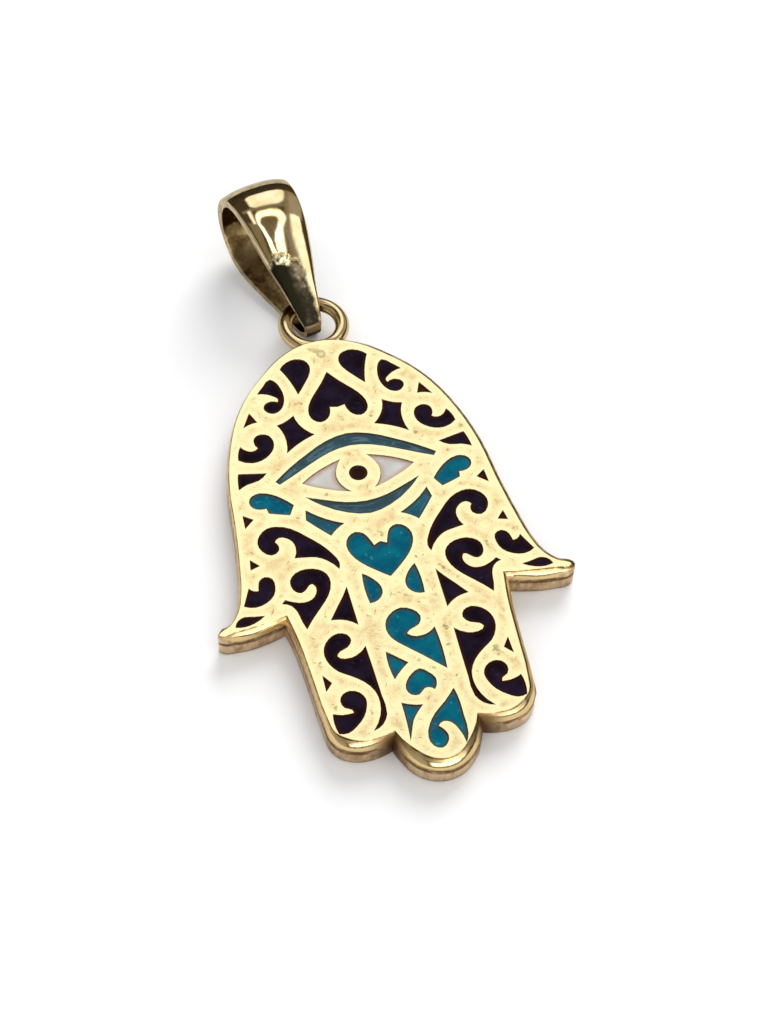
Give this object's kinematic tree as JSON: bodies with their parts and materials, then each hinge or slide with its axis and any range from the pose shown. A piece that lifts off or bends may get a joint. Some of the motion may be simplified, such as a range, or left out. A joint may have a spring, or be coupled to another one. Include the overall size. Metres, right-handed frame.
{
  "type": "enamelled hand pendant with a bail",
  "caption": "Flat gold hand-shaped pendant with an eye and scrolls in sunk enamel, a soldered ring and a tapered swinging bail.",
  "frame": {"origin": "centre of the whole part's footprint on the surface that it lies on", "axes": "+X across the hand to its right thumb, +Y from the fingers to the bail, +Z out of the enamelled face"},
  "size_m": [0.016, 0.0322, 0.0049],
  "materials": {
    "cast_gold": "satin, fine scratches",
    "polished_gold": "polished",
    "dark_enamel": "gloss",
    "teal_enamel": "gloss",
    "white_enamel": "gloss",
    "pupil_enamel": "gloss"
  },
  "bodies": {
    "hand": {"hamsa_body": "cast_gold", "enamel_dark": "dark_enamel", "enamel_teal": "teal_enamel", "enamel_white": "white_enamel", "pupil": "pupil_enamel"},
    "bail": {"bail": "polished_gold"}
  },
  "joints": [
    {"name": "bail_swing", "type": "hinge", "parent": "hand", "child": "bail", "pos_m": [-0.00017, 0.00986, 0.001], "axis": [0.9763, 0.2164, 0], "range_deg": [-125, 85]}
  ]
}
